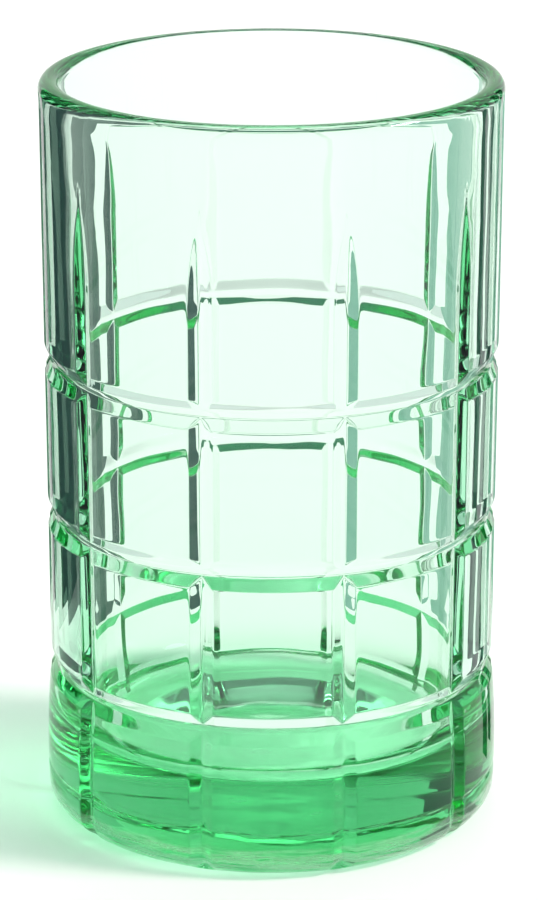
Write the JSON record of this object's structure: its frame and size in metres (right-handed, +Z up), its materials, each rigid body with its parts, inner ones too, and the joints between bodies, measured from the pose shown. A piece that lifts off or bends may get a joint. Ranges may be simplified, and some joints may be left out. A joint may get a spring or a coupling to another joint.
{
  "type": "juice glass",
  "caption": "Straight-sided, heavy-based pressed-glass tumbler for juice, with raised panels between ring grooves and upright grooves.",
  "frame": {"origin": "on the glass's axis, in the plane of the foot ring it stands on", "axes": "+Z up along the axis to the open rim; -Y towards the viewer of the picture, +X to that viewer's right"},
  "size_m": [0.0638, 0.0638, 0.105],
  "materials": {
    "tinted_glass": "clear, tinted light green in the mass, fire polished"
  },
  "bodies": {
    "root": {"tumbler": "tinted_glass"}
  },
  "joints": []
}
